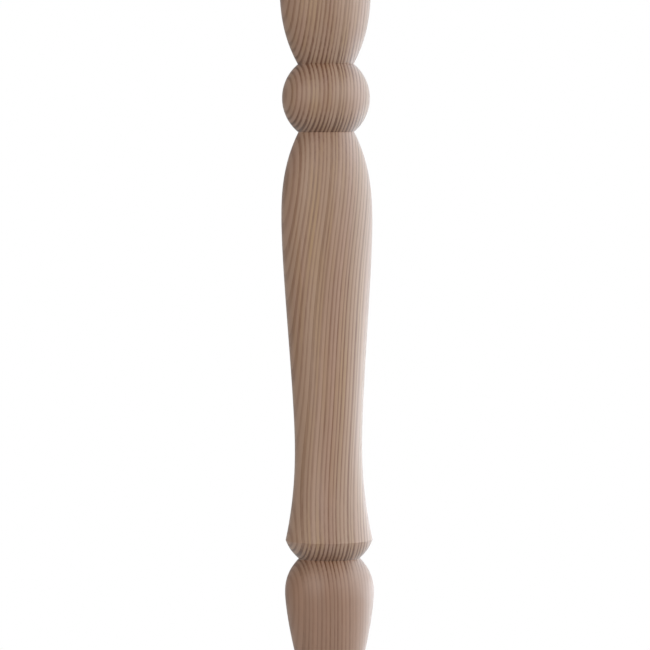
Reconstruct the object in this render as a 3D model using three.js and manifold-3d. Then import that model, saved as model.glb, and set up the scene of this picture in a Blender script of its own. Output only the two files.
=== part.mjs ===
// Turned wooden baluster: one length of square softwood stock, turned between two square ends.
// Sizes are in millimetres, +Z is up, and the lower end stands on z = 0 with the axis at x = y = 0.

import * as THREE from "three";
import { mergeVertices } from "three/addons/utils/BufferGeometryUtils.js";
import Module from "manifold-3d";

const wasm = await Module();
wasm.setup();

// Stock
const height = 900;
const stockWidth = 41;
const easedEdgeRadius = 0.8;

// Ball in the middle, a true sphere between two V grooves
const ballDiameter = 38.1;
const ballGrooveDiameter = 24.2;

// Long vases above and below the ball, each widest near the ball. The upper one fills out a little sooner.
const vaseLength = 177.5;
const bellyDiameter = 39.5;
const lowerShoulderLength = 38.3;
const upperShoulderLength = 35;
const waistDiameter = 29.3;
const flareLength = 40.8;
const arrisDiameter = 37.9;

// Gently rounded chamfer past the arris, down to the groove before the urn
const chamferLength = 8.1;
const chamferBulge = 0.7;
const urnGrooveDiameter = 26.4;

// Urns past the chamfers
const urnDiameter = 38.8;
const urnShoulderLength = 15.2;
const urnBodyLength = 38.4;
const urnFootDiameter = 24.4;

// Half-round beads between the urns and the square ends
const beadDiameter = 34;
const beadLength = 11;
const beadGrooveDiameter = 25;

// Rounded shoulders, where the turning runs out into the square
const squareShoulderLength = 22;
const squareShoulderBulge = 3;

// Shape of the hand-held curves: 2 is a parabola, and a larger power is flatter before it turns in
const vaseShoulderPower = 2.5;
const flarePower = 2.1;
const urnShoulderPower = 2.4;
const urnBodyPower = 1.45;
const taperHandle = 0.24;

// Facets
const facetsAround = 48;
const ballRows = 12;
const shoulderRows = 7;
const taperRows = 6;
const flareRows = 5;
const chamferRows = 3;
const urnShoulderRows = 6;
const urnBodyRows = 5;
const beadRows = 6;
const squareShoulderRows = 6;
const edgeRows = 3;

// The lathe profile runs a little past the stock's corners and ends, so that the square trims it clean
const turningMargin = 2;

// Points closer than this are one point
const mergeDistance = 1e-4;

// Each stretch below is a list of points (radius, distance from the ball's centre), without its first point.

// A curve that is level with the axis at one place and leans away from there to another place.
function rounded(level, far, levelDiameter, farDiameter, power, rows, towardsLevel) {
  const levelRadius = levelDiameter / 2;
  const farRadius = farDiameter / 2;
  const points = [];
  for (let row = 1; row <= rows; row++) {
    const step = row / rows;
    const away = towardsLevel ? 1 - step : step;
    const radius = levelRadius + (farRadius - levelRadius) * away ** power;
    points.push(new THREE.Vector2(radius, THREE.MathUtils.lerp(level, far, away)));
  }
  return points;
}

// A long S that is level with the axis at both ends and nearly straight between them.
function tapered(start, end, startDiameter, endDiameter, rows) {
  const handle = taperHandle * (end - start);
  const curve = new THREE.CubicBezierCurve(
    new THREE.Vector2(startDiameter / 2, start),
    new THREE.Vector2(startDiameter / 2, start + handle),
    new THREE.Vector2(endDiameter / 2, end - handle),
    new THREE.Vector2(endDiameter / 2, end),
  );
  return curve.getPoints(rows).slice(1);
}

// A circular arc that bulges outwards from the straight line between its ends.
function bulged(start, end, startDiameter, endDiameter, bulge, rows) {
  const from = new THREE.Vector2(startDiameter / 2, start);
  const to = new THREE.Vector2(endDiameter / 2, end);
  const chord = to.clone().sub(from);
  const halfChord = chord.length() / 2;
  const arcRadius = (halfChord ** 2 + bulge ** 2) / (2 * bulge);
  const outward = new THREE.Vector2(chord.y, -chord.x).normalize();
  const centre = from.clone().add(to).multiplyScalar(0.5).addScaledVector(outward, bulge - arcRadius);
  const halfAngle = Math.atan2(halfChord, arcRadius - bulge);
  const points = [];
  for (let row = 1; row <= rows; row++) {
    const angle = halfAngle * (2 * row / rows - 1);
    const point = centre.clone().addScaledVector(outward, arcRadius * Math.cos(angle));
    points.push(point.addScaledVector(chord, arcRadius * Math.sin(angle) / chord.length()));
  }
  return points;
}

// Half of the ball, from its middle to the groove.
function ballHalf() {
  const radius = ballDiameter / 2;
  const turn = Math.acos(ballGrooveDiameter / 2 / radius);
  const points = [];
  for (let row = 1; row <= ballRows / 2; row++) {
    const angle = turn * row / (ballRows / 2);
    points.push(new THREE.Vector2(radius * Math.cos(angle), radius * Math.sin(angle)));
  }
  return points;
}

// One half of the turning, from the ball's middle out past the square end.
function halfProfile(shoulderLength) {
  const points = [new THREE.Vector2(ballDiameter / 2, 0), ...ballHalf()];
  const vaseStart = points.at(-1).y;
  const belly = vaseStart + shoulderLength;
  const arris = vaseStart + vaseLength;
  const waist = arris - flareLength;
  const urnStart = arris + chamferLength;
  const urnWidest = urnStart + urnShoulderLength;
  const urnFoot = urnWidest + urnBodyLength;
  const beadEnd = urnFoot + beadLength;
  const squareStart = beadEnd + squareShoulderLength;
  const outerDiameter = stockWidth * Math.SQRT2 + 2 * turningMargin;
  const end = height / 2 + turningMargin;
  points.push(
    ...rounded(belly, vaseStart, bellyDiameter, ballGrooveDiameter, vaseShoulderPower, shoulderRows, true),
    ...tapered(belly, waist, bellyDiameter, waistDiameter, taperRows),
    ...rounded(waist, arris, waistDiameter, arrisDiameter, flarePower, flareRows, false),
    ...bulged(arris, urnStart, arrisDiameter, urnGrooveDiameter, chamferBulge, chamferRows),
    ...rounded(urnWidest, urnStart, urnDiameter, urnGrooveDiameter, urnShoulderPower, urnShoulderRows, true),
    ...rounded(urnWidest, urnFoot, urnDiameter, urnFootDiameter, urnBodyPower, urnBodyRows, false),
    ...bead(urnFoot),
    ...bulged(beadEnd, squareStart, beadGrooveDiameter, outerDiameter, squareShoulderBulge, squareShoulderRows),
    new THREE.Vector2(outerDiameter / 2, end),
    new THREE.Vector2(0, end),
  );
  return points;
}

// A half-round bead, from the urn's foot to the groove before the square.
function bead(start) {
  const points = [];
  for (let row = 1; row <= beadRows; row++) {
    const angle = Math.PI * row / beadRows;
    const grooveRadius = THREE.MathUtils.lerp(urnFootDiameter, beadGrooveDiameter, row / beadRows) / 2;
    const radius = grooveRadius + (beadDiameter / 2 - grooveRadius) * Math.sin(angle);
    points.push(new THREE.Vector2(radius, start + beadLength * (1 - Math.cos(angle)) / 2));
  }
  return points;
}

// The turned solid, before the square stock trims it.
function turning() {
  const upper = halfProfile(upperShoulderLength);
  const lower = halfProfile(lowerShoulderLength).slice(1).reverse();
  const profile = [
    ...lower.map((point) => new THREE.Vector2(point.x, height / 2 - point.y)),
    ...upper.map((point) => new THREE.Vector2(point.x, height / 2 + point.y)),
  ];
  return new THREE.LatheGeometry(profile, facetsAround).rotateX(Math.PI / 2);
}

// The square stock, with its long edges eased.
function stock() {
  const flat = stockWidth / 2 - easedEdgeRadius;
  const section = new THREE.Shape();
  section.absarc(flat, flat, easedEdgeRadius, 0, Math.PI / 2);
  section.absarc(-flat, flat, easedEdgeRadius, Math.PI / 2, Math.PI);
  section.absarc(-flat, -flat, easedEdgeRadius, Math.PI, 1.5 * Math.PI);
  section.absarc(flat, -flat, easedEdgeRadius, 1.5 * Math.PI, 2 * Math.PI);
  return new THREE.ExtrudeGeometry(section, { depth: height, bevelEnabled: false, curveSegments: edgeRows });
}

// A closed solid made from a geometry whose faces meet at shared places.
function solidFrom(geometry) {
  const bare = geometry.clone();
  bare.deleteAttribute("normal");
  bare.deleteAttribute("uv");
  const merged = mergeVertices(bare, mergeDistance);
  const corners = merged.index.array;
  const triangles = [];
  for (let i = 0; i < corners.length; i += 3) {
    const [a, b, c] = corners.slice(i, i + 3);
    if (a !== b && b !== c && c !== a) {
      triangles.push(a, b, c);
    }
  }
  return new wasm.Manifold(new wasm.Mesh({
    numProp: 3,
    vertProperties: new Float32Array(merged.attributes.position.array),
    triVerts: new Uint32Array(triangles),
  }));
}

// A drawable geometry made from a solid.
function geometryFrom(solid) {
  const mesh = solid.getMesh();
  const geometry = new THREE.BufferGeometry();
  geometry.setAttribute("position", new THREE.BufferAttribute(mesh.vertProperties, mesh.numProp));
  geometry.setIndex(new THREE.BufferAttribute(mesh.triVerts, 1));
  return geometry;
}

// Bare planed softwood, buff with a pinkish cast.
function bareSoftwood() {
  return new THREE.MeshStandardMaterial({ color: 0xb7967c, roughness: 0.7, metalness: 0, flatShading: true });
}

const baluster = new THREE.Mesh(
  geometryFrom(solidFrom(turning()).intersect(solidFrom(stock()))),
  bareSoftwood(),
);
baluster.name = "baluster";

const group = new THREE.Group();
group.add(baluster);

export default group;
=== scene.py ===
# A turned baluster in bare softwood, dressed round its CAD frame.
# Shapes are worked out in millimetres, as a turner would, and turned to metres when a mesh is made.
import math

import bmesh
import bpy
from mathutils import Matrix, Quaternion, Vector


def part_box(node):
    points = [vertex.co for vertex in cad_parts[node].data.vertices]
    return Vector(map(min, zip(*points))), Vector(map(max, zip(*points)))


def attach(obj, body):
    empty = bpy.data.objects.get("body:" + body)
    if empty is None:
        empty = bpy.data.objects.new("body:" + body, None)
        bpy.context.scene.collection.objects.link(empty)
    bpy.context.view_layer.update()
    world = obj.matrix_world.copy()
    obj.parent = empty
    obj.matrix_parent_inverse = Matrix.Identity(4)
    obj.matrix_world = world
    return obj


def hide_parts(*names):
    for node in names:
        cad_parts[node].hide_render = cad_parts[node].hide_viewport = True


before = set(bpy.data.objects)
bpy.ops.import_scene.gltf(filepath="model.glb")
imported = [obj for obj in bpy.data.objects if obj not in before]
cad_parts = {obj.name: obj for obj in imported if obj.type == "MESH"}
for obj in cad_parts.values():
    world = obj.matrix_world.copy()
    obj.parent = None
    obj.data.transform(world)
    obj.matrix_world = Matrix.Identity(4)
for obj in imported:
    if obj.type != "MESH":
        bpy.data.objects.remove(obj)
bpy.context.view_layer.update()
low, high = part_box("baluster")
millimetre = 0.001


def addNode(tree, kind, values=None, links=None, **settings):
    # one node with its settings, its fixed inputs and what is plugged into it
    node = tree.nodes.new(kind)
    for name, value in settings.items():
        setattr(node, name, value)
    for name, value in (values or {}).items():
        node.inputs[name].default_value = value
    for name, source in (links or {}).items():
        tree.links.new(source, node.inputs[name])
    return node


def linearColour(hexColour):
    # an sRGB hex value as linear RGBA
    def channel(start):
        value = int(hexColour[start:start + 2], 16) / 255
        return value / 12.92 if value <= 0.04045 else ((value + 0.055) / 1.055) ** 2.4

    return (channel(1), channel(3), channel(5), 1.0)


# The softwood. Bare planed hemlock: pale pinkish early wood that darkens to a band of late wood in each
# year's ring, matt with a faint haze of cut fibres, darker and stronger in contrast where the turning cuts
# across the fibres, and darker still where those faces turn downward, which is painted shade. Lengths are
# in millimetres.
wood = {
    "earlyColour": "#ad8c74",
    "lateColour": "#784a26",
    "yellowColour": "#af8a5f",
    "pinkColour": "#b08a77",
    "brownColour": "#a07a62",
    "brownStretch": (110.0, 175.0, 238.0, 258.0),  # heights: browning starts, brown, last brown, pale again
    "paintedSheenSide": (5.0, 12.0),  # x, where the rings of the brown stretch fade out on the lit side, as painted sheen
    "yellowStreak": (-6.0, -20.5, 6.5),  # x, y and radius of a streak that shows where the turning is thick
    # the rings
    "ringWidth": 1.7,  # of one year, measured square to the rings
    "ringTurn": 15.0,  # degrees from +X towards +Y that the rings face
    "pithDistance": 190.0,  # from the axis to the middle of the tree
    "crowding": 0.0036,  # how rings grow closer towards the bark, in mm for each mm squared
    "steadySlope": 0.045,
    "sways": ((0.065, 430.0, 520.0), (0.04, 409.0, 126.0)),  # slope, height where it is most, wavelength
    "lateRamp": ((0.0, 0.05), (0.2, 0.0), (0.5, 0.03), (0.64, 0.46), (0.76, 0.84), (0.88, 0.46), (1.0, 0.07)),
    "leastLate": 0.8,  # late wood of the palest year
    "lateLuck": 0.4,  # and how much more the darkest has
    "ringContrast": 0.92,
    "brownFading": 0.2,
    "paintedSheenFading": 0.4,
    # noise that goes with the rings: years that it takes to change, where it is taken, and its amount
    "ringSpread": (1.5, 40.0, 0.35),  # how unevenly the years grow
    "ringGroups": (9.0, 130.0, 0.3),
    "pinkYears": (5.0, 90.0, 0.8),
    # noise in the piece: the length of its lumps along x, y and z, where it is taken, and its amount
    "waver": ((24.0, 24.0, 90.0), (3.1, 7.7, 1.3), 0.35),
    "patches": ((9.0, 9.0, 45.0), (1.0, 6.0, 2.0), 0.3),
    "brokenLines": ((0.9, 0.9, 20.0), (2.0, 6.0, 3.0), 0.55),
    "yellowPatches": ((4.0, 4.0, 50.0), (1.0, 4.0, 2.0), 0.8),
    "fibres": ((0.35, 0.35, 16.0), (0.0, 0.0, 0.0), 0.1),
    "slowShading": ((30.0, 30.0, 120.0), (8.0, 8.0, 0.5), 0.1),
    # shares of colour
    "pinkness": 0.25,
    "yellowness": 0.75,
    "yellowLuck": 0.6,  # how much it changes from year to year
    "yearShading": 0.07,
    # where the fibres are cut across: power of the slope, gain, and the most that it adds to the grain; the
    # larger gain facing down is painted shade
    "grainAndShadeFacingDown": (4.5, 26.0, 2.5),
    "grainFacingUp": (3.5, 3.0, 1.5),
    # cut fibres darken, and downward faces darken more, which is painted shade
    "soakAndShadePower": 1.5,
    "soakAndShadeFacingUp": 0.3,  # as a share of facing down
    "earlySoakAndShade": 0.1,
    "lateSoakAndShade": 0.5,
    "flatCutPower": 6.0,
    "flatCutFading": 0.3,
    "sawnSlope": (0.8, 0.95),
    "sawnFading": 0.45,
    # the surface
    "roughness": 0.5,
    "lateShine": 0.06,
    "sawnRoughness": 0.3,  # added on the sawn ends
    "ior": 1.55,
    "specular": 0.9,
    "fuzz": 0.45,  # how much the haze of cut fibres shows at a slant
    "fuzzRoughness": 0.4,
    "fibreRelief": 0.4,
    "lateRelief": 0.6,
    "reliefStrength": 0.35,
    "reliefHeight": 0.03,  # in millimetres
}


def bareSoftwood():
    material = bpy.data.materials.new("planed softwood")
    material.use_nodes = True
    tree = material.node_tree
    tree.nodes.clear()

    def plug(node, parts):
        # sockets are linked and anything else is set
        for place, part in parts:
            if isinstance(part, bpy.types.NodeSocket):
                tree.links.new(part, node.inputs[place])
            else:
                node.inputs[place].default_value = part

    def calc(operation, *parts):
        # arithmetic on numbers and sockets
        node = addNode(tree, "ShaderNodeMath", operation=operation)
        plug(node, enumerate(parts))
        return node.outputs[0]

    def addTimes(base, value, factor):
        # the base and that many times the value
        return calc("MULTIPLY_ADD", value, factor, base)

    def fade(value, share, amount):
        # loses that amount where the share is 1
        return calc("MULTIPLY", value, addTimes(1.0, share, -amount))

    def blend(share, first, second):
        # two colours, each a socket or a linear colour, on the node's colour sockets
        node = addNode(tree, "ShaderNodeMix", data_type="RGBA", clamp_factor=True)
        plug(node, ((0, share), (6, first), (7, second)))
        return node.outputs[2]

    def fromUpright(dx, dy):
        # distance from a line along Z
        return calc("SQRT", calc("ADD", calc("POWER", dx, 2.0), calc("POWER", dy, 2.0)))

    # position in millimetres, in the piece's own axes
    coordinates = addNode(tree, "ShaderNodeTexCoord")
    position = addNode(tree, "ShaderNodeVectorMath", {"Scale": 1 / millimetre},
                       {0: coordinates.outputs["Object"]}, operation="SCALE").outputs[0]
    x, y, z = addNode(tree, "ShaderNodeSeparateXYZ", links={0: position}).outputs

    def noise(stretch, place, detail=2.0):
        # noise from -1 to 1, whose lumps are as many millimetres long each way as stretch says
        scaled = addNode(tree, "ShaderNodeMapping",
                         {"Scale": tuple(1 / s for s in stretch), "Location": place},
                         {"Vector": position}).outputs[0]
        lumps = addNode(tree, "ShaderNodeTexNoise", {"Scale": 1.0, "Detail": detail}, {"Vector": scaled})
        return addTimes(-1.0, lumps.outputs["Fac"], 2.0)

    def addNoise(base, name):
        stretch, place, amount = wood[name]
        return addTimes(base, noise(stretch, place), amount)

    def addRingNoise(base, depth, name):
        # noise from -1 to 1 that goes with the rings and changes over that many years
        years, shift, amount = wood[name]
        lumps = addNode(tree, "ShaderNodeTexNoise", {"Scale": 1 / (years * wood["ringWidth"]), "Detail": 1.0},
                        {"W": calc("ADD", depth, shift)}, noise_dimensions="1D")
        return addTimes(base, addTimes(-1.0, lumps.outputs["Fac"], 2.0), amount)

    def yearLuck(year):
        # any number from 0 to 1, the same all through a year
        return addNode(tree, "ShaderNodeTexWhiteNoise", links={"W": year},
                       noise_dimensions="1D").outputs["Value"]

    def ramp(value, start, end):
        # 0 at the start, 1 at the end and smooth between them
        return addNode(tree, "ShaderNodeMapRange", {"From Min": start, "From Max": end}, {"Value": value},
                       interpolation_type="SMOOTHSTEP").outputs[0]

    # distance from the pith, which the rings follow, with the sway of the trunk along its length
    turn = math.radians(wood["ringTurn"])
    fromPithX = calc("SUBTRACT", x, wood["pithDistance"] * math.cos(turn))
    fromPithY = calc("SUBTRACT", y, wood["pithDistance"] * math.sin(turn))
    depth = fromUpright(fromPithX, fromPithY)
    pastAxis = calc("SUBTRACT", depth, wood["pithDistance"])
    depth = addTimes(depth, calc("MULTIPLY", pastAxis, pastAxis), wood["crowding"])
    depth = addTimes(depth, z, wood["steadySlope"])
    for slope, steepest, wavelength in wood["sways"]:
        wave = 2 * math.pi / wavelength
        swing = calc("SINE", addTimes(-steepest * wave, z, wave))
        depth = addTimes(depth, swing, slope / wave)
    depth = addNoise(depth, "waver")

    # years grow wide and narrow, and each has its own late wood and its own shade
    years = addRingNoise(calc("DIVIDE", depth, wood["ringWidth"]), depth, "ringSpread")
    year = calc("FLOOR", years)
    season = calc("FRACT", years)
    lateLuck = yearLuck(year)
    shadeLuck = calc("SUBTRACT", yearLuck(calc("ADD", year, 0.5)), 0.5)
    late = addNode(tree, "ShaderNodeValToRGB", links={0: season})
    late.color_ramp.interpolation = "B_SPLINE"
    for place, value in wood["lateRamp"]:
        stops = late.color_ramp.elements
        stop = stops.new(place) if 0 < place < 1 else stops[int(place)]
        stop.color = (value, value, value, 1)
    lateness = calc("MULTIPLY", late.outputs[0], addTimes(wood["leastLate"], lateLuck, wood["lateLuck"]))

    # the rings fade in groups of years, in long patches and in short breaks, in the brown stretch, and on its
    # side towards +X as painted sheen
    contrast = addRingNoise(wood["ringContrast"], depth, "ringGroups")
    contrast = addNoise(contrast, "patches")
    contrast = addNoise(contrast, "brokenLines")
    starts, brown, lastBrown, pale = wood["brownStretch"]
    brownness = calc("MULTIPLY", ramp(z, starts, brown), ramp(z, pale, lastBrown))
    # painted sheen: the rings of the brown stretch washed out on its side towards +X, where the light falls
    paintedSheen = calc("MULTIPLY", brownness, ramp(x, *wood["paintedSheenSide"]))
    contrast = fade(contrast, brownness, wood["brownFading"])
    contrast = fade(contrast, paintedSheen, wood["paintedSheenFading"])
    lateness = calc("MULTIPLY", lateness, contrast)

    # fibres cut across, on the ends, the chamfers and the grooves, soak up light and darken; the extra
    # darkening where they face down is painted shade
    normal = addNode(tree, "ShaderNodeNewGeometry").outputs["Normal"]
    slope = addNode(tree, "ShaderNodeSeparateXYZ", links={0: normal}).outputs["Z"]
    facingDown = calc("MAXIMUM", calc("MULTIPLY", slope, -1.0), 0.0)
    facingUp = calc("MAXIMUM", slope, 0.0)
    across = addTimes(calc("POWER", facingDown, wood["soakAndShadePower"]),
                      calc("POWER", facingUp, wood["soakAndShadePower"]), wood["soakAndShadeFacingUp"])
    # late bands grow stronger on cut fibres, far more on downward faces, which is painted shade
    strength = 1.0
    for facing, name in ((facingDown, "grainAndShadeFacingDown"), (facingUp, "grainFacingUp")):
        power, gain, most = wood[name]
        gained = calc("MINIMUM", calc("MULTIPLY", calc("POWER", facing, power), gain), most)
        strength = calc("ADD", strength, gained)
    lateness = calc("MULTIPLY", lateness, strength)

    # where the surface lies flat along the rings, their bands are broad and faint, and so are sawn ends
    ringWay = addNode(tree, "ShaderNodeVectorMath", {1: (math.cos(turn), math.sin(turn), 0.0)}, {0: normal},
                      operation="DOT_PRODUCT").outputs["Value"]
    flatCut = calc("POWER", calc("ABSOLUTE", ringWay), wood["flatCutPower"])
    lateness = fade(lateness, flatCut, wood["flatCutFading"])
    sawn = ramp(calc("ABSOLUTE", slope), *wood["sawnSlope"])
    lateness = fade(lateness, sawn, wood["sawnFading"])
    fullLateness = calc("MINIMUM", lateness, 1.0)

    # colour: early to late wood, yellower and pinker in places, browner in its stretch
    early = blend(addRingNoise(wood["pinkness"], depth, "pinkYears"),
                  linearColour(wood["earlyColour"]), linearColour(wood["pinkColour"]))
    streakX, streakY, streakRadius = wood["yellowStreak"]
    aside = fromUpright(calc("SUBTRACT", x, streakX), calc("SUBTRACT", y, streakY))
    yellowness = addNoise(ramp(aside, streakRadius, 0.0), "yellowPatches")
    yellowness = addTimes(yellowness, shadeLuck, -wood["yellowLuck"])
    early = blend(calc("MULTIPLY", yellowness, wood["yellowness"]), early, linearColour(wood["yellowColour"]))
    early = blend(brownness, early, linearColour(wood["brownColour"]))
    colour = blend(lateness, early, linearColour(wood["lateColour"]))

    # and its shade: fine fibres, slow shading, each year's own, what soaks up light, and painted shade on
    # downward faces
    fibreLumps, fibrePlace, fibreShading = wood["fibres"]
    fibre = noise(fibreLumps, fibrePlace, detail=3.0)
    value = addTimes(1.0, fibre, fibreShading)
    value = addNoise(value, "slowShading")
    value = addTimes(value, shadeLuck, wood["yearShading"])
    # darkening of cut fibres, stronger on downward faces as painted shade
    soakAndShade = addTimes(wood["earlySoakAndShade"], fullLateness, wood["lateSoakAndShade"])
    value = fade(value, calc("MULTIPLY", across, soakAndShade), 1.0)
    colour = addNode(tree, "ShaderNodeVectorMath", links={0: colour, "Scale": value},
                     operation="SCALE").outputs[0]

    # late wood is denser: it stands a hair proud and shines a little more, and the sawn ends are rough
    relief = addTimes(calc("MULTIPLY", lateness, wood["lateRelief"]), fibre, wood["fibreRelief"])
    bump = addNode(tree, "ShaderNodeBump",
                   {"Strength": wood["reliefStrength"], "Distance": wood["reliefHeight"] * millimetre},
                   {"Height": relief})
    roughness = addTimes(wood["roughness"], fullLateness, -wood["lateShine"])
    roughness = addTimes(roughness, sawn, wood["sawnRoughness"])

    shader = addNode(tree, "ShaderNodeBsdfPrincipled",
                     {"IOR": wood["ior"], "Specular IOR Level": wood["specular"],
                      "Sheen Weight": wood["fuzz"], "Sheen Roughness": wood["fuzzRoughness"]},
                     {"Base Color": colour, "Roughness": roughness, "Normal": bump.outputs[0]})
    addNode(tree, "ShaderNodeOutputMaterial", links={"Surface": shader.outputs[0]})
    return material


# The turning, in millimetres from the middle of the ball to each end, as on a turner's marking stick.
turning = {
    "ballDiameter": 38.1,
    "ballGroove": 24.2,
    "vaseLength": 177.5,
    "bellyDiameter": 39.5,
    "lowerShoulder": 38.3,
    "upperShoulder": 35.0,
    "waistDiameter": 29.3,
    "flareLength": 40.8,
    "arrisDiameter": 37.9,
    "chamferLength": 8.1,
    "chamferBulge": 0.7,
    "urnGroove": 26.4,
    "urnDiameter": 38.8,
    "urnShoulder": 15.2,
    "urnBody": 38.4,
    "urnFoot": 24.4,
    "beadDiameter": 34.0,
    "beadLength": 11.0,
    "beadGroove": 25.0,
    "squareShoulder": 22.0,
    "squareShoulderBulge": 3.0,
    "vasePower": 2.5,
    "flarePower": 2.1,
    "urnShoulderPower": 2.4,
    "urnBodyPower": 1.45,
    "taperHandle": 0.24,
    "easedEdge": 0.8,
    "easedSteps": 6,
    "endChamfer": 0.3,
    "facets": 144,
    "rowSpacing": 1.1,  # along the profile, and closer on tight curves
    "fewestRows": 4,
    "overlap": 2.0,  # of the turned shape past the square stock
    "crease": 24.0,  # degrees, above which a turned edge stays crisp
}


def curveRows(length):
    return max(turning["fewestRows"], round(length / turning["rowSpacing"]))


def roundedCurve(level, far, levelDiameter, farDiameter, power, towardsLevel):
    # level with the axis at one place, leaning away from there to another
    rows = curveRows(abs(far - level))
    points = []
    for row in range(1, rows + 1):
        away = 1 - row / rows if towardsLevel else row / rows
        radius = (levelDiameter + (farDiameter - levelDiameter) * away ** power) / 2
        points.append((radius, level + (far - level) * away))
    return points


def taperedCurve(start, end, startDiameter, endDiameter):
    # a long S, level with the axis at both ends
    rows = curveRows(end - start)
    handle = turning["taperHandle"] * (end - start)
    corners = [Vector((startDiameter / 2, start)), Vector((startDiameter / 2, start + handle)),
               Vector((endDiameter / 2, end - handle)), Vector((endDiameter / 2, end))]
    points = []
    for row in range(1, rows + 1):
        t = row / rows
        shares = ((1 - t) ** 3, 3 * t * (1 - t) ** 2, 3 * t * t * (1 - t), t ** 3)
        points.append(tuple(sum((c * s for c, s in zip(corners, shares)), Vector((0, 0)))))
    return points


def bulgedCurve(start, end, startDiameter, endDiameter, bulge):
    # a circular arc that stands out from the straight line between its ends
    first, last = Vector((startDiameter / 2, start)), Vector((endDiameter / 2, end))
    chord = last - first
    half = chord.length / 2
    arcRadius = (half * half + bulge * bulge) / (2 * bulge)
    outward = Vector((chord.y, -chord.x)).normalized()
    centre = (first + last) / 2 + outward * (bulge - arcRadius)
    halfAngle = math.atan2(half, arcRadius - bulge)
    along = chord.normalized()
    rows = 2 * curveRows(chord.length)
    points = []
    for row in range(1, rows + 1):
        angle = halfAngle * (2 * row / rows - 1)
        spoke = outward * math.cos(angle) + along * math.sin(angle)
        points.append(tuple(centre + arcRadius * spoke))
    return points


def ballCurve():
    radius = turning["ballDiameter"] / 2
    reach = math.acos(turning["ballGroove"] / 2 / radius)
    rows = 2 * curveRows(radius * reach)
    return [(radius * math.cos(reach * row / rows), radius * math.sin(reach * row / rows))
            for row in range(1, rows + 1)]


def beadCurve(start):
    rows = 3 * curveRows(turning["beadLength"])
    points = []
    for row in range(1, rows + 1):
        groove = turning["urnFoot"] + (turning["beadGroove"] - turning["urnFoot"]) * row / rows
        angle = math.pi * row / rows
        radius = (groove + (turning["beadDiameter"] - groove) * math.sin(angle)) / 2
        points.append((radius, start + turning["beadLength"] * (1 - math.cos(angle)) / 2))
    return points


def halfTurning(shoulder, outerDiameter, end):
    # radius against distance from the ball's middle, out past the square end
    t = turning
    points = [(t["ballDiameter"] / 2, 0.0)] + ballCurve()
    vase = points[-1][1]
    belly, arris = vase + shoulder, vase + t["vaseLength"]
    waist, urn = arris - t["flareLength"], arris + t["chamferLength"]
    widest = urn + t["urnShoulder"]
    foot = widest + t["urnBody"]
    bead = foot + t["beadLength"]
    points += roundedCurve(belly, vase, t["bellyDiameter"], t["ballGroove"], t["vasePower"], True)
    points += taperedCurve(belly, waist, t["bellyDiameter"], t["waistDiameter"])
    points += roundedCurve(waist, arris, t["waistDiameter"], t["arrisDiameter"], t["flarePower"], False)
    points += bulgedCurve(arris, urn, t["arrisDiameter"], t["urnGroove"], t["chamferBulge"])
    points += roundedCurve(widest, urn, t["urnDiameter"], t["urnGroove"], t["urnShoulderPower"], True)
    points += roundedCurve(widest, foot, t["urnDiameter"], t["urnFoot"], t["urnBodyPower"], False)
    points += beadCurve(foot)
    points += bulgedCurve(bead, bead + t["squareShoulder"], t["beadGroove"], outerDiameter,
                          t["squareShoulderBulge"])
    return points + [(outerDiameter / 2, end)]


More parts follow.
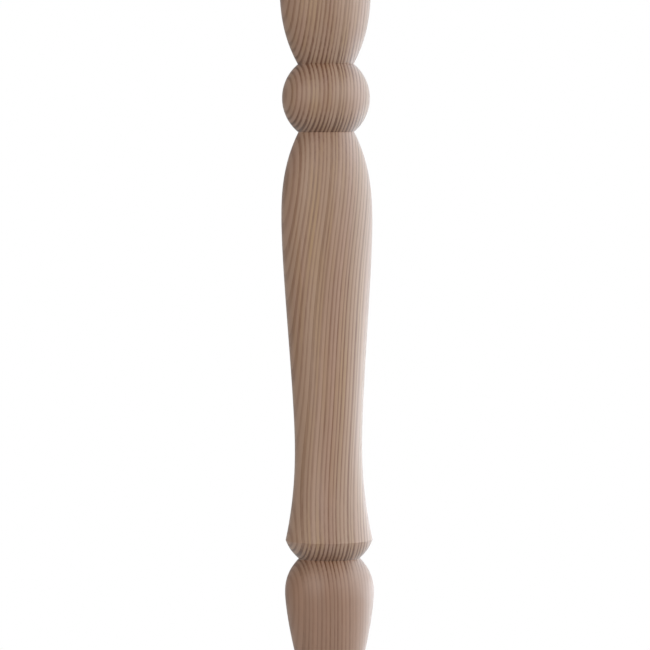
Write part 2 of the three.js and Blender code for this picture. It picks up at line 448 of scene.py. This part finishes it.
def latheTree(material):
    # spins a profile into a solid and trims it to square stock, as the lathe and the sawmill do
    tree = bpy.data.node_groups.new("lathe and square stock", "GeometryNodeTree")
    tree.interface.new_socket("Profile", in_out="INPUT", socket_type="NodeSocketGeometry")
    sizes = {"Rows": "Int", "Facets": "Int", "Stock Width": "Float", "Stock Height": "Float",
             "Eased Edge": "Float", "Crease Angle": "Float"}
    for name, kind in sizes.items():
        tree.interface.new_socket(name, in_out="INPUT", socket_type="NodeSocket" + kind)
    tree.interface.new_socket("Solid", in_out="OUTPUT", socket_type="NodeSocketGeometry")
    given = addNode(tree, "NodeGroupInput").outputs

    # a drum with one ring of corners for each profile point
    lastRow = addNode(tree, "ShaderNodeMath", {1: 1.0}, {0: given["Rows"]}, operation="SUBTRACT").outputs[0]
    drum = addNode(tree, "GeometryNodeMeshCylinder", {"Radius": 1.0, "Depth": 1.0},
                   {"Vertices": given["Facets"], "Side Segments": lastRow})
    place = addNode(tree, "ShaderNodeSeparateXYZ",
                    links={0: addNode(tree, "GeometryNodeInputPosition").outputs[0]}).outputs
    share = addNode(tree, "ShaderNodeMath", {1: 0.5}, {0: place["Z"]}, operation="ADD").outputs[0]
    row = addNode(tree, "ShaderNodeMath", links={0: share, 1: lastRow}, operation="MULTIPLY").outputs[0]
    row = addNode(tree, "ShaderNodeMath", links={0: row}, operation="ROUND").outputs[0]
    profilePoint = addNode(tree, "GeometryNodeSampleIndex",
                           links={"Geometry": given["Profile"], "Index": row}, data_type="FLOAT_VECTOR")
    tree.links.new(addNode(tree, "GeometryNodeInputPosition").outputs[0], profilePoint.inputs["Value"])
    profile = addNode(tree, "ShaderNodeSeparateXYZ", links={0: profilePoint.outputs[0]}).outputs
    across = [addNode(tree, "ShaderNodeMath", links={0: place[axis], 1: profile["X"]},
                      operation="MULTIPLY").outputs[0] for axis in ("X", "Y")]
    spun = addNode(tree, "ShaderNodeCombineXYZ", links={"X": across[0], "Y": across[1], "Z": profile["Z"]})
    turned = addNode(tree, "GeometryNodeSetPosition",
                     links={"Geometry": drum.outputs["Mesh"], "Position": spun.outputs[0]})
    turned = addNode(tree, "GeometryNodeStoreNamedAttribute", {"Name": "turned", "Value": True},
                     {"Geometry": turned.outputs[0]}, data_type="BOOLEAN", domain="FACE")

    # the square stock with its long edges eased
    square = addNode(tree, "GeometryNodeCurvePrimitiveQuadrilateral",
                     links={"Width": given["Stock Width"], "Height": given["Stock Width"]})
    eased = addNode(tree, "GeometryNodeFilletCurve", {"Count": turning["easedSteps"]},
                    {"Curve": square.outputs[0], "Radius": given["Eased Edge"]}, mode="POLY")
    top = addNode(tree, "ShaderNodeCombineXYZ", links={"Z": given["Stock Height"]})
    spine = addNode(tree, "GeometryNodeCurvePrimitiveLine", {"Start": (0, 0, 0)}, {"End": top.outputs[0]})
    stock = addNode(tree, "GeometryNodeCurveToMesh", {"Fill Caps": True},
                    {"Curve": spine.outputs[0], "Profile Curve": eased.outputs[0]})

    # what the two have in common, smooth where it was turned
    trimmed = addNode(tree, "GeometryNodeMeshBoolean", operation="INTERSECT", solver="EXACT")
    for solid in (turned, stock):
        tree.links.new(solid.outputs[0], trimmed.inputs["Mesh 2"])
    isTurned = addNode(tree, "GeometryNodeInputNamedAttribute", {"Name": "turned"}, data_type="BOOLEAN")
    smooth = addNode(tree, "GeometryNodeSetShadeSmooth",
                     links={"Geometry": trimmed.outputs["Mesh"],
                            "Shade Smooth": isTurned.outputs["Attribute"]}, domain="FACE")
    edge = addNode(tree, "GeometryNodeInputMeshEdgeAngle").outputs["Unsigned Angle"]
    soft = addNode(tree, "ShaderNodeMath", links={0: edge, 1: given["Crease Angle"]}, operation="LESS_THAN")
    smooth = addNode(tree, "GeometryNodeSetShadeSmooth",
                     links={"Geometry": smooth.outputs[0], "Shade Smooth": soft.outputs[0]}, domain="EDGE")
    real = addNode(tree, "GeometryNodeRealizeInstances", links={"Geometry": smooth.outputs[0]})
    finished = addNode(tree, "GeometryNodeSetMaterial", {"Material": material}, {"Geometry": real.outputs[0]})
    addNode(tree, "NodeGroupOutput", links={"Solid": finished.outputs[0]})
    return tree


def turnedBaluster(material):
    height = (high.z - low.z) / millimetre
    stockWidth = (high.x - low.x) / millimetre
    outer = stockWidth * math.sqrt(2) + 2 * turning["overlap"]
    middle, end = height / 2, height / 2 + turning["overlap"]
    upper = [(r, middle + d) for r, d in halfTurning(turning["upperShoulder"], outer, end)]
    lower = [(r, middle - d) for r, d in halfTurning(turning["lowerShoulder"], outer, end)]
    profile = lower[:0:-1] + upper

    mesh = bpy.data.meshes.new("turning profile")
    mesh.from_pydata([(r * millimetre, 0, z * millimetre) for r, z in profile],
                     [(i, i + 1) for i in range(len(profile) - 1)], [])
    blank = bpy.data.objects.new("turning profile", mesh)
    bpy.context.scene.collection.objects.link(blank)
    tree = latheTree(material)
    lathe = blank.modifiers.new("lathe", "NODES")
    lathe.node_group = tree
    values = {
        "Rows": len(profile),
        "Facets": turning["facets"],
        "Stock Width": stockWidth * millimetre,
        "Stock Height": height * millimetre,
        "Eased Edge": turning["easedEdge"] * millimetre,
        "Crease Angle": math.radians(turning["crease"]),
    }
    for item in tree.interface.items_tree:
        if item.name in values:
            lathe[item.identifier] = values[item.name]
    evaluated = blank.evaluated_get(bpy.context.evaluated_depsgraph_get())
    piece = bpy.data.objects.new("turned_baluster", bpy.data.meshes.new_from_object(evaluated))
    blank.modifiers.remove(lathe)
    bpy.data.objects.remove(blank)
    bpy.context.scene.collection.objects.link(piece)
    return piece


def chamferEnds(piece):
    # the saw's sharp edge is broken all round both ends, where an upright side meets the flat
    shape = bmesh.new()
    shape.from_mesh(piece.data)
    near = 0.01 * millimetre
    upright = 0.5  # greatest slope of a side's normal
    for end in (low.z, high.z):
        rim = [e for e in shape.edges if all(abs(v.co.z - end) < near for v in e.verts)
               and any(abs(f.normal.z) < upright for f in e.link_faces)]
        bmesh.ops.bevel(shape, geom=rim, offset=turning["endChamfer"] * millimetre, segments=1,
                        affect="EDGES", profile=0.5)
    shape.to_mesh(piece.data)
    shape.free()


softwood = bareSoftwood()
baluster = turnedBaluster(softwood)
chamferEnds(baluster)
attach(baluster, "root")
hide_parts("baluster")
print("baluster turned:", len(baluster.data.polygons), "faces")

# The studio: a white room with a pale round floor. Tall soft boxes stand round the baluster, brightest on the
# right and behind it on the right, and low ones beside them light it from the floor's height. Lengths are in
# metres.
studio = {
    "floorRadius": 0.75,
    "floorPlain": 0.1,  # radius from which the floor starts to melt into the white
    "floorFacets": 128,
    "floorColour": "#dfdedc",
    "floorRoughness": 0.9,
    "fill": 0.15,  # light from the whole room
    "tallBoxes": {  # bearing in degrees from the camera: radiance and colour
        -60: (1.2, "#fff4e8"),
        -30: (1.8, "#ffffff"),
        30: (1.35, "#ffffff"),
        60: (1.3, "#f2faff"),
        90: (2.7, "#f2faff"),
        120: (2.6, "#e6f4ff"),
        150: (1.9, "#ecf6ff"),
        180: (0.6, "#ffffff"),
    },
    "lowBoxes": {
        80: (0.8, "#f2faff"),
        120: (3.3, "#e6f4ff"),
        150: (2.0, "#ecf6ff"),
    },
    "overheadLight": (0.5, "#ffffff"),
    "tallBox": {"away": 1.8, "height": 0.9, "size": (0.94, 1.8), "aim": 0.42},
    "lowBox": {"away": 0.8, "height": 0.13, "size": (0.6, 0.24), "aim": 0.2},
    "overheadBox": {"away": 0.0, "height": 2.4, "size": (2.2, 2.2), "aim": 0.42},
}


def softBox(name, bearing, radiance, colour, stand):
    # a rectangle of light on a stand, turned to the baluster
    turn = math.radians(bearing)
    place = Vector((stand["away"] * math.sin(turn), -stand["away"] * math.cos(turn), stand["height"]))
    light = bpy.data.lights.new(name, "AREA")
    light.shape = "RECTANGLE"
    light.size, light.size_y = stand["size"]
    light.energy = radiance * math.pi * light.size * light.size_y
    light.color = linearColour(colour)[:3]
    lamp = bpy.data.objects.new(name, light)
    lamp.location = place
    lamp.rotation_euler = (Vector((0, 0, stand["aim"])) - place).to_track_quat("-Z", "Y").to_euler()
    lamp.visible_camera = False
    bpy.context.scene.collection.objects.link(lamp)


def studioLights():
    for bearing, (radiance, colour) in studio["tallBoxes"].items():
        softBox(f"tall soft box at {bearing} degrees", bearing, radiance, colour, studio["tallBox"])
    for bearing, (radiance, colour) in studio["lowBoxes"].items():
        softBox(f"low soft box at {bearing} degrees", bearing, radiance, colour, studio["lowBox"])
    softBox("overhead soft box", 0.0, *studio["overheadLight"], studio["overheadBox"])


def paleFloor():
    # matt pale paper under the baluster, whose rim melts into the white room for the camera alone
    paper = bpy.data.materials.new("matt pale paper")
    paper.use_nodes = True
    tree = paper.node_tree
    tree.nodes.clear()
    matt = addNode(tree, "ShaderNodeBsdfPrincipled",
                   {"Base Color": linearColour(studio["floorColour"]), "Roughness": studio["floorRoughness"]})
    place = addNode(tree, "ShaderNodeTexCoord").outputs["Object"]
    away = addNode(tree, "ShaderNodeVectorMath", links={0: place}, operation="LENGTH").outputs["Value"]
    melting = addNode(tree, "ShaderNodeMapRange",
                      {"From Min": studio["floorPlain"], "From Max": studio["floorRadius"]}, {"Value": away},
                      interpolation_type="SMOOTHSTEP").outputs[0]
    ray = addNode(tree, "ShaderNodeLightPath").outputs["Is Camera Ray"]
    share = addNode(tree, "ShaderNodeMath", links={0: melting, 1: ray}, operation="MULTIPLY").outputs[0]
    clear = addNode(tree, "ShaderNodeBsdfTransparent").outputs[0]
    both = addNode(tree, "ShaderNodeMixShader", links={0: share, 1: matt.outputs[0], 2: clear})
    addNode(tree, "ShaderNodeOutputMaterial", links={"Surface": both.outputs[0]})
    shape = bmesh.new()
    bmesh.ops.create_circle(shape, cap_ends=True, segments=studio["floorFacets"],
                            radius=studio["floorRadius"])
    mesh = bpy.data.meshes.new("floor")
    shape.to_mesh(mesh)
    shape.free()
    mesh.materials.append(paper)
    floor = bpy.data.objects.new("floor", mesh)
    bpy.context.scene.collection.objects.link(floor)


def whiteRoom():
    # plain white to look at, and much dimmer as a light, so that the soft boxes do the modelling
    world = bpy.data.worlds.new("white room")
    world.use_nodes = True
    tree = world.node_tree
    tree.nodes.clear()
    seen = addNode(tree, "ShaderNodeBackground", {"Color": (1, 1, 1, 1), "Strength": 1.0})
    lit = addNode(tree, "ShaderNodeBackground", {"Color": (1, 1, 1, 1), "Strength": studio["fill"]})
    ray = addNode(tree, "ShaderNodeLightPath").outputs["Is Camera Ray"]
    both = addNode(tree, "ShaderNodeMixShader", links={0: ray, 1: lit.outputs[0], 2: seen.outputs[0]})
    addNode(tree, "ShaderNodeOutputWorld", links={"Surface": both.outputs[0]})
    bpy.context.scene.world = world


paleFloor()
whiteRoom()
studioLights()
bpy.context.scene.view_settings.view_transform = "Standard"
print("studio lit")

# The camera stands level with the ball and looks down a little, as the photograph does. Lengths are in metres
# and angles in degrees.
viewpoint = {
    "distance": 1.873,
    "focalPixels": 4313.0,
    "imagePixels": 650.0,
    "sensorWidth": 36.0,
    "eyeHeight": 0.45,
    "lookDown": 3.012,
    "roll": 0.41,
    "sideways": -0.00112,
}


def photographCamera():
    data = bpy.data.cameras.new("camera")
    data.sensor_width = viewpoint["sensorWidth"]
    data.lens = viewpoint["focalPixels"] / viewpoint["imagePixels"] * data.sensor_width
    data.dof.use_dof = False
    camera = bpy.data.objects.new("camera", data)
    down = math.radians(viewpoint["lookDown"])
    ahead = Vector((0, math.cos(down), -math.sin(down)))
    facing = ahead.to_track_quat("-Z", "Y") @ Quaternion((0, 0, 1), -math.radians(viewpoint["roll"]))
    camera.rotation_mode = "QUATERNION"
    camera.rotation_quaternion = facing
    camera.location = (viewpoint["sideways"], -viewpoint["distance"], viewpoint["eyeHeight"])
    bpy.context.scene.collection.objects.link(camera)
    bpy.context.scene.camera = camera


photographCamera()
print("camera placed")
